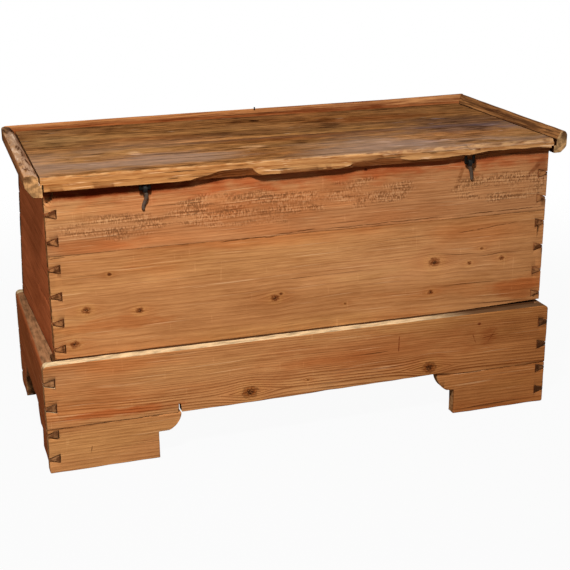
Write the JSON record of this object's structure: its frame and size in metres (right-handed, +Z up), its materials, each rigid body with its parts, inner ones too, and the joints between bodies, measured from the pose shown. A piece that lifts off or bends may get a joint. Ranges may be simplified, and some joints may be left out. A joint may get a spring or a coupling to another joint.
{
  "type": "blanket chest",
  "caption": "Long dovetailed softwood blanket chest with a hinged, moulded lid, standing on a separate plinth with bracket feet.",
  "frame": {"origin": "on the floor, under the middle of the whole chest", "axes": "+X along the chest, +Y towards its front, -Y the back with the hinge irons (the side the picture shows), +Z up"},
  "size_m": [1.334, 0.5904, 0.729],
  "materials": {
    "body_wood": "aged waxed softwood",
    "plinth_wood": "aged waxed softwood",
    "lid_wood": "worn greyed softwood",
    "wrought_iron": "forged, dark patina"
  },
  "bodies": {
    "chest": {"back_apron": "plinth_wood", "back_ledger": "plinth_wood", "back_left_foot": "plinth_wood", "back_lower_plank": "body_wood", "back_right_foot": "plinth_wood", "back_upper_plank": "body_wood", "floor_board_1": "body_wood", "floor_board_2": "body_wood", "floor_board_3": "body_wood", "front_apron": "plinth_wood", "front_ledger": "plinth_wood", "front_left_foot": "plinth_wood", "front_lower_plank": "body_wood", "front_right_foot": "plinth_wood", "front_upper_plank": "body_wood", "ledger_nails": "wrought_iron", "left_end_apron": "plinth_wood", "left_end_back_foot": "plinth_wood", "left_end_front_foot": "plinth_wood", "left_end_lower_plank": "body_wood", "left_end_upper_plank": "body_wood", "left_hinge_eye": "wrought_iron", "right_end_apron": "plinth_wood", "right_end_back_foot": "plinth_wood", "right_end_front_foot": "plinth_wood", "right_end_lower_plank": "body_wood", "right_end_upper_plank": "body_wood", "right_hinge_eye": "wrought_iron"},
    "lid": {"bent_nail": "wrought_iron", "front_moulding": "lid_wood", "left_hinge_staple": "wrought_iron", "left_moulding": "lid_wood", "lid_back_plank": "lid_wood", "lid_front_plank": "lid_wood", "moulding_nails": "wrought_iron", "right_hinge_staple": "wrought_iron", "right_moulding": "lid_wood"}
  },
  "joints": [
    {"name": "lid_hinge", "type": "hinge", "parent": "chest", "child": "lid", "pos_m": [0, -0.27825, 0.6625], "axis": [1, 0, 0], "range_deg": [0, 100]}
  ]
}
